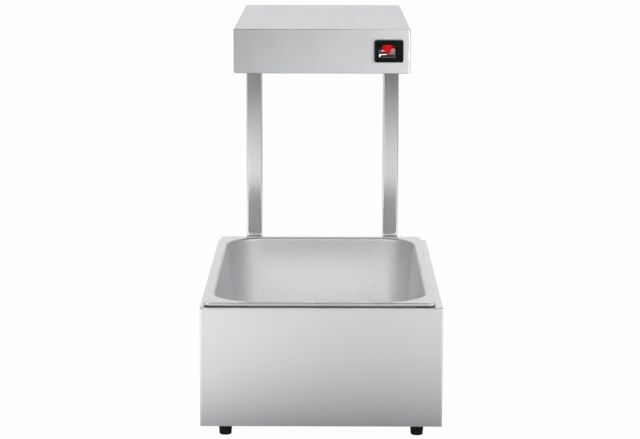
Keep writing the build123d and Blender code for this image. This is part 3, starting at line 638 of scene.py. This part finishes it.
def addCover(look):
    low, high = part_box("switch_hood")
    middle = (low + high) / 2
    seat = high.y
    brim = seat - look["foot"]
    halfWidth, halfHeight = look["width"] / 2, look["height"] / 2
    outer = roundedOutline(halfWidth, halfHeight, look["corner"], look["around"])
    inner = roundedOutline(halfWidth - look["wall"], halfHeight - look["wall"], look["corner"], look["around"])
    foot = roundedOutline((high.x - low.x) / 2, (high.z - low.z) / 2, look["corner"] / 2, look["around"])
    shares = [step / look["outward"] for step in range(1, look["outward"] + 1)]
    rings = [[(spot * share, brim - pillow(look, spot * share, 0.0)) for spot in outer] for share in shares]
    rings.append([(spot, brim) for spot in outer])
    rings.append([(spot, brim) for spot in foot])
    rings.append([(spot, seat) for spot in foot])
    rings.append([(spot, seat) for spot in inner])
    rings += [[(spot * share, brim - pillow(look, spot * share, look["wall"])) for spot in inner]
              for share in reversed(shares)]
    points = [(middle.x + spot.x, depth, middle.z + spot.y) for ring in rings for spot, depth in ring]
    faces = bridge(len(rings), look["around"])
    for ring, inset in ((0, 0.0), (len(rings) - 1, look["wall"])):
        tip = len(points)
        points.append((middle.x, brim - (look["rise"] - inset), middle.z))
        start = ring * look["around"]
        for step in range(look["around"]):
            spots = (start + step, start + (step + 1) % look["around"], tip)
            faces.append(spots if ring else spots[::-1])
    cover = addPiece("switch_cover", points, faces, clearHood, "warmer")
    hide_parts("switch_hood")
    return cover


switchCover = addCover(coverLook)


# white dash and ring on the two halves of the rocker

markLook = {
    "tilt": 10.0, "valley": 0.0044, "rise": 0.006, "halfLength": 0.0106, "reach": 0.00785, "lift": 0.0008,
    "proud": 0.00012, "shoulder": 0.6, "dashLength": 0.0048, "dashWidth": 0.0013, "dashFlat": 0.92, "dashTip": 0.02,
    "ringRadius": 0.0026, "ringWidth": 0.0009, "ringOuterFlat": 0.95, "ringInnerFlat": 1.06, "sides": 40,
    "smoothAngle": 50.0,
}
paintLook = {
    "name": "markPaint", "dark": (0.62, 0.56, 0.52), "light": (0.70, 0.65, 0.62), "pebbles": 3000.0, "rough": 0.5,
    "bump": 0.1, "bumpDepth": 0.0001,
}


def makePaint(look):
    material, tree, shader, place = newMaterial(look["name"])
    skin = placeGroup(tree, mouldSkin, place, Scale=look["pebbles"])
    wire(tree, mixColours(tree, skin.outputs["Tone"], look["dark"], look["light"]), shader.inputs["Base Color"])
    addBump(tree, shader, skin.outputs["Height"], look["bump"], look["bumpDepth"])
    shader.inputs["Roughness"].default_value = look["rough"]
    return material


def markPlane(look, side):
    # frame of one half of the rocker's face: X along it, Y up the object, Z out of it
    joint = [joint for joint in frame["joints"] if joint["name"] == "switch_rock"][0]
    pivot = Vector(joint["pos_m"])
    end = Vector((side * look["halfLength"], -look["rise"], 0))
    valley = Vector((0, -look["valley"], 0))
    along = (end - valley).normalized() * side
    share = look["reach"] / look["halfLength"]
    outward = along.cross(Vector((0, 0, 1)))
    axes = Matrix((along, (0, 0, 1), outward)).transposed().to_4x4()
    seat = Matrix.Translation(valley.lerp(end, share) + Vector((0, 0, look["lift"]))) @ axes
    return Matrix.Translation(pivot) @ Matrix.Rotation(math.radians(look["tilt"]), 4, "Z") @ seat


def addMark(name, outlines, plane, look, material):
    # a low printed shape built up from closed outlines, each at its own depth
    points = []
    for outline, depth in outlines:
        points += [plane @ Vector((spot[0], spot[1], depth)) for spot in outline]
    addPiece(name, points, bridge(len(outlines), look["sides"]), material, "rocker",
             smoothAngle=look["smoothAngle"])


def addMarks(look):
    paint = makePaint(paintLook)
    turns = [2 * math.pi * step / look["sides"] for step in range(look["sides"])]
    half, thick = look["dashLength"] / 2 - look["dashWidth"] / 2, look["dashWidth"] / 2

    def pill(scale):
        return [
            (math.copysign(half, math.cos(turn)) * scale + thick * scale * math.cos(turn),
             thick * scale * math.sin(turn))
            for turn in turns
        ]

    def circle(radius):
        return [(radius * math.cos(turn), radius * math.sin(turn)) for turn in turns]

    proud = look["proud"]
    shoulder = look["shoulder"] * proud
    dash = [
        (pill(1.0), -proud), (pill(1.0), shoulder), (pill(look["dashFlat"]), proud), (pill(look["dashTip"]), proud),
    ]
    addMark("mark_on", dash, markPlane(look, -1), look, paint)
    outside, inside = look["ringRadius"], look["ringRadius"] - look["ringWidth"]
    ring = [
        (circle(outside), -proud), (circle(outside), shoulder), (circle(look["ringOuterFlat"] * outside), proud),
        (circle(look["ringInnerFlat"] * inside), proud), (circle(inside), shoulder), (circle(inside), -proud),
    ]
    addMark("mark_off", ring, markPlane(look, 1), look, paint)


addMarks(markLook)
print("pieces added")


# stage: pale floor, soft light, white surround

floorLook = {
    "size": 30.0, "colour": (0.86, 0.86, 0.86), "glow": 0.97,
    "contactDepth": 0.84, "contactReach": 0.46, "level": 0.93, "tiltReach": 0.24, "sideTilt": -1.0, "sideRise": 6.0,
    "sheetEnd": -2.5, "roomStart": -3.2, "roomLevel": 0.1,
    "sheetSide": 0.8, "roomSide": 2.2, "sheetBack": 1.0, "roomBack": 2.4, "asideLevel": 0.5,
}


def seenMask(tree):
    # 1 for rays from the camera and for those that metal and glass send on
    path = addNode(tree, "ShaderNodeLightPath")
    first = mathNode(tree, "MAXIMUM", path.outputs["Is Camera Ray"], path.outputs["Is Glossy Ray"])
    return mathNode(tree, "MAXIMUM", first, path.outputs["Is Transmission Ray"]), path.outputs["Is Glossy Ray"]


def floorInMetal(tree, look):
    # what steel mirrors of the floor: a soft contact shade round the case, paler to both sides and most to the left,
    # and the end of the white sheet
    spot = addNode(tree, "ShaderNodeSeparateXYZ")
    wire(tree, addNode(tree, "ShaderNodeNewGeometry").outputs["Position"], spot.inputs[0])
    low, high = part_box("base_case")
    outside = []
    for axis, near, far in (("X", low.x, high.x), ("Y", low.y, high.y)):
        centred = mathNode(tree, "SUBTRACT", spot.outputs[axis], (near + far) / 2)
        beyond = mathNode(tree, "SUBTRACT", mathNode(tree, "ABSOLUTE", centred), (far - near) / 2)
        outside.append(mathNode(tree, "POWER", mathNode(tree, "MAXIMUM", beyond, 0.0), 2.0))
    distance = mathNode(tree, "SQRT", mathNode(tree, "ADD", *outside))
    fade = mathNode(tree, "EXPONENT", mathNode(tree, "DIVIDE", distance, -look["contactReach"]))
    contact = mathNode(tree, "SUBTRACT", 1.0, mathNode(tree, "MULTIPLY", fade, look["contactDepth"]))
    reach = look["tiltReach"]
    aside = remap(tree, spot.outputs["X"], -reach, reach, -reach, reach)
    squared = mathNode(tree, "POWER", mathNode(tree, "ABSOLUTE", aside), 2.0)
    rise = mathNode(tree, "MULTIPLY", squared, look["sideRise"])
    lean = mathNode(tree, "MULTIPLY", aside, look["sideTilt"])
    tilt = mathNode(tree, "ADD", mathNode(tree, "ADD", rise, lean), look["level"])
    sheet = remap(tree, spot.outputs["Y"], look["sheetEnd"], look["roomStart"], 1.0, look["roomLevel"], smooth=True)
    sides = remap(tree, mathNode(tree, "ABSOLUTE", spot.outputs["X"]), look["sheetSide"], look["roomSide"], 1.0,
                  look["asideLevel"], smooth=True)
    back = remap(tree, spot.outputs["Y"], look["sheetBack"], look["roomBack"], 1.0, look["asideLevel"], smooth=True)
    shaded = mathNode(tree, "MULTIPLY", contact, tilt)
    for part in (sheet, mathNode(tree, "MINIMUM", sides, back)):
        shaded = mathNode(tree, "MULTIPLY", shaded, part)
    return mathNode(tree, "MINIMUM", shaded, 1.0)


def makeFloor(look):
    half = look["size"] / 2
    mesh = bpy.data.meshes.new("studioFloor")
    mesh.from_pydata([(-half, -half, 0), (half, -half, 0), (half, half, 0), (-half, half, 0)], [], [(0, 1, 2, 3)])
    floor = bpy.data.objects.new("studioFloor", mesh)
    bpy.context.scene.collection.objects.link(floor)
    material = bpy.data.materials.new("paleFloor")
    material.use_nodes = True
    tree = material.node_tree
    tree.nodes.clear()
    output = addNode(tree, "ShaderNodeOutputMaterial")
    matte = addNode(tree, "ShaderNodeBsdfDiffuse")
    matte.inputs["Color"].default_value = (*look["colour"], 1)
    glow = addNode(tree, "ShaderNodeEmission")
    blend = addNode(tree, "ShaderNodeMixShader")
    seen, glossy = seenMask(tree)
    wire(tree, mixValues(tree, glossy, 1.0, floorInMetal(tree, look)), glow.inputs["Strength"])
    share = mixValues(tree, glossy, look["glow"], 1.0)
    wire(tree, mathNode(tree, "MULTIPLY", seen, share), blend.inputs[0])
    wire(tree, matte.outputs[0], blend.inputs[1])
    wire(tree, glow.outputs[0], blend.inputs[2])
    wire(tree, blend.outputs[0], output.inputs["Surface"])
    mesh.materials.append(material)


surroundLook = {
    "ambient": 0.55, "wall": 1.0, "sideWall": 0.5, "ceiling": 0.15, "rearCeiling": 0.55, "room": 0.16,
    "softbox": 1.0, "softboxX": (-0.78, -0.58, 0.58, 0.78), "softboxZ": (0.04, 0.14, 0.4, 0.55),
    "frontY": (0.3, -0.15), "sideX": (0.45, 0.85), "ceilingZ": (0.6, 0.85), "rearY": (-0.1, 0.45),
}


def band(tree, value, edges):
    # 0 outside, 1 inside, with soft ends
    rising = remap(tree, value, edges[0], edges[1], 0.0, 1.0, smooth=True)
    falling = remap(tree, value, edges[2], edges[3], 1.0, 0.0, smooth=True)
    return mathNode(tree, "MULTIPLY", rising, falling)


def makeSurround(look):
    world = bpy.data.worlds.new("studioSurround")
    bpy.context.scene.world = world
    world.use_nodes = True
    tree = world.node_tree
    tree.nodes.clear()
    output = addNode(tree, "ShaderNodeOutputWorld")
    sky = addNode(tree, "ShaderNodeBackground")
    wire(tree, sky.outputs[0], output.inputs["Surface"])
    toward = addNode(tree, "ShaderNodeSeparateXYZ")
    wire(tree, addNode(tree, "ShaderNodeTexCoord").outputs["Generated"], toward.inputs[0])
    front = remap(tree, toward.outputs["Y"], *look["frontY"], 0.0, 1.0, smooth=True)
    outward = mathNode(tree, "ABSOLUTE", toward.outputs["X"])
    aside = remap(tree, outward, *look["sideX"], look["wall"], look["sideWall"], smooth=True)
    walls = mixValues(tree, front, aside, look["room"])
    softbox = mathNode(tree, "MULTIPLY", band(tree, toward.outputs["X"], look["softboxX"]),
                       band(tree, toward.outputs["Z"], look["softboxZ"]))
    lit = mixValues(tree, mathNode(tree, "MULTIPLY", softbox, front), walls, look["softbox"])
    overhead = remap(tree, toward.outputs["Z"], *look["ceilingZ"], 0.0, 1.0, smooth=True)
    ceiling = remap(tree, toward.outputs["Y"], *look["rearY"], look["ceiling"], look["rearCeiling"], smooth=True)
    mirrored = mixValues(tree, overhead, lit, ceiling)
    seen, glossy = seenMask(tree)
    plain = mixValues(tree, seen, look["ambient"], 1.0)
    wire(tree, mixValues(tree, glossy, plain, mirrored), sky.inputs["Strength"])


# softboxes light every matte surface; a lamp that names one piece is mirrored by that piece alone

softboxAim, panAim, headAim = (0, 0, 0.3), (0, 0, 0.2), (0, -0.1, 0.5)
lampLooks = [
    {"name": "topSoftbox", "place": (0.0, -0.3, 2.6), "aim": softboxAim, "size": (2.4, 2.0), "watts": 20.0},
    {"name": "rightSoftbox", "place": (2.4, -1.4, 1.3), "aim": softboxAim, "size": (1.2, 1.8), "watts": 8.0},
    {"name": "leftSoftbox", "place": (-2.4, -1.4, 1.2), "aim": softboxAim, "size": (1.2, 1.8), "watts": 8.0},
    {"name": "headTop", "only": nodes["head_shell"], "place": (0.3, -0.4, 1.4), "aim": (0, -0.2, 0.56),
     "size": (0.4, 0.3), "watts": 1.2},
    {"name": "headKey", "only": nodes["head_shell"], "place": (0.62, -1.0, 0.78), "aim": headAim,
     "size": (0.3, 0.3), "watts": 4.5},
    {"name": "headKeyLow", "only": nodes["head_shell"], "place": (0.6, -1.0, 0.26), "aim": headAim,
     "size": (0.3, 0.3), "watts": 2.1},
    {"name": "postFillRight", "only": nodes["post_right"], "place": (0.11, -0.2, 0.14), "aim": (0.11, 0.26, 0.14),
     "size": (0.1, 0.08), "watts": 0.004},
    {"name": "postFillLeft", "only": nodes["post_left"], "place": (-0.11, -0.2, 0.14), "aim": (-0.11, 0.26, 0.14),
     "size": (0.1, 0.08), "watts": 0.004},
    {"name": "panKeyTop", "only": nodes["food_pan"], "place": (0, -1.5, 1.6), "aim": (0, 0.26, 0.13),
     "size": (1.2, 0.25), "watts": 0.55, "spread": 7.0},
    {"name": "panKeyRight", "only": nodes["food_pan"], "place": (0.75, -1.6, 1.0), "aim": panAim,
     "size": (0.4, 0.4), "watts": 2.0},
    {"name": "panKeyLeft", "only": nodes["food_pan"], "place": (-0.75, -1.6, 1.0), "aim": panAim,
     "size": (0.4, 0.4), "watts": 2.0},
    {"name": "panSideRight", "only": nodes["food_pan"], "place": (1.2, -1.2, 1.15), "aim": panAim,
     "size": (1.1, 1.0), "watts": 12.0},
    {"name": "panSideLeft", "only": nodes["food_pan"], "place": (-1.2, -1.2, 1.15), "aim": panAim,
     "size": (1.1, 1.0), "watts": 12.0},
    {"name": "caseKeyTop", "only": nodes["base_case"], "place": (0, -1.5, 1.5), "aim": (0, -0.3, 0.17),
     "size": (1.4, 0.3), "watts": 4.0},
    {"name": "caseKeyRight", "only": nodes["base_case"], "place": (1.2, -0.9, 0.3), "aim": (0.17, -0.3, 0.1),
     "size": (0.2, 0.6), "watts": 2.5},
    {"name": "caseKeyLeft", "only": nodes["base_case"], "place": (-1.2, -0.9, 0.3), "aim": (-0.17, -0.3, 0.1),
     "size": (0.2, 0.6), "watts": 1.5},
    # two strips low over the floor that face up, seen as one curved glint along the lower half of the switch cover
    {"name": "coverGlintLeft", "only": switchCover, "place": (-0.36, -0.45, 0.01), "turn": -33.0,
     "size": (1.17, 0.2), "watts": 130.0},
    {"name": "coverGlintRight", "only": switchCover, "place": (0.38, -0.58, 0.01), "turn": 33.0,
     "size": (0.70, 0.2), "watts": 90.0},
]
wideSpread = 180.0


def addLamp(lamp):
    data = bpy.data.lights.new(lamp["name"], "AREA")
    data.shape = "RECTANGLE"
    data.size, data.size_y = lamp["size"]
    data.energy = lamp["watts"]
    data.spread = math.radians(lamp.get("spread", wideSpread))
    holder = bpy.data.objects.new(lamp["name"], data)
    holder.location = lamp["place"]
    if "turn" in lamp:
        holder.rotation_euler = (math.pi, 0, math.radians(lamp["turn"]))
    else:
        aim = Vector(lamp["aim"]) - Vector(lamp["place"])
        holder.rotation_euler = aim.to_track_quat("-Z", "Y").to_euler()
    holder.visible_glossy = "only" in lamp
    holder.visible_diffuse = not holder.visible_glossy
    holder.visible_camera = False
    holder.visible_transmission = False
    bpy.context.scene.collection.objects.link(holder)
    if "only" in lamp:
        lit = bpy.data.collections.new(lamp["name"] + "Lit")
        lit.objects.link(lamp["only"])
        holder.light_linking.receiver_collection = lit


makeFloor(floorLook)
makeSurround(surroundLook)
for lampLook in lampLooks:
    addLamp(lampLook)
print("stage lit")


# camera at the height and distance of a product shot

cameraLook = {
    "place": (0.0068, -3.2333, 0.8142), "lens": 120.8, "sensor": 36.0, "pitch": 9.67, "turn": 0.174, "roll": 0.12,
}


def addCamera(look):
    data = bpy.data.cameras.new("shotCamera")
    data.lens = look["lens"]
    data.sensor_width = look["sensor"]
    data.sensor_fit = "HORIZONTAL"
    data.dof.use_dof = False
    camera = bpy.data.objects.new("shotCamera", data)
    turn = Matrix.Rotation(math.radians(look["turn"]), 4, "Z")
    tilt = Matrix.Rotation(math.radians(90 - look["pitch"]), 4, "X")
    roll = Matrix.Rotation(math.radians(look["roll"]), 4, "Z")
    camera.matrix_world = Matrix.Translation(look["place"]) @ turn @ tilt @ roll
    bpy.context.scene.collection.objects.link(camera)
    bpy.context.scene.camera = camera


addCamera(cameraLook)
bpy.context.scene.view_settings.view_transform = "Standard"
print("camera set")
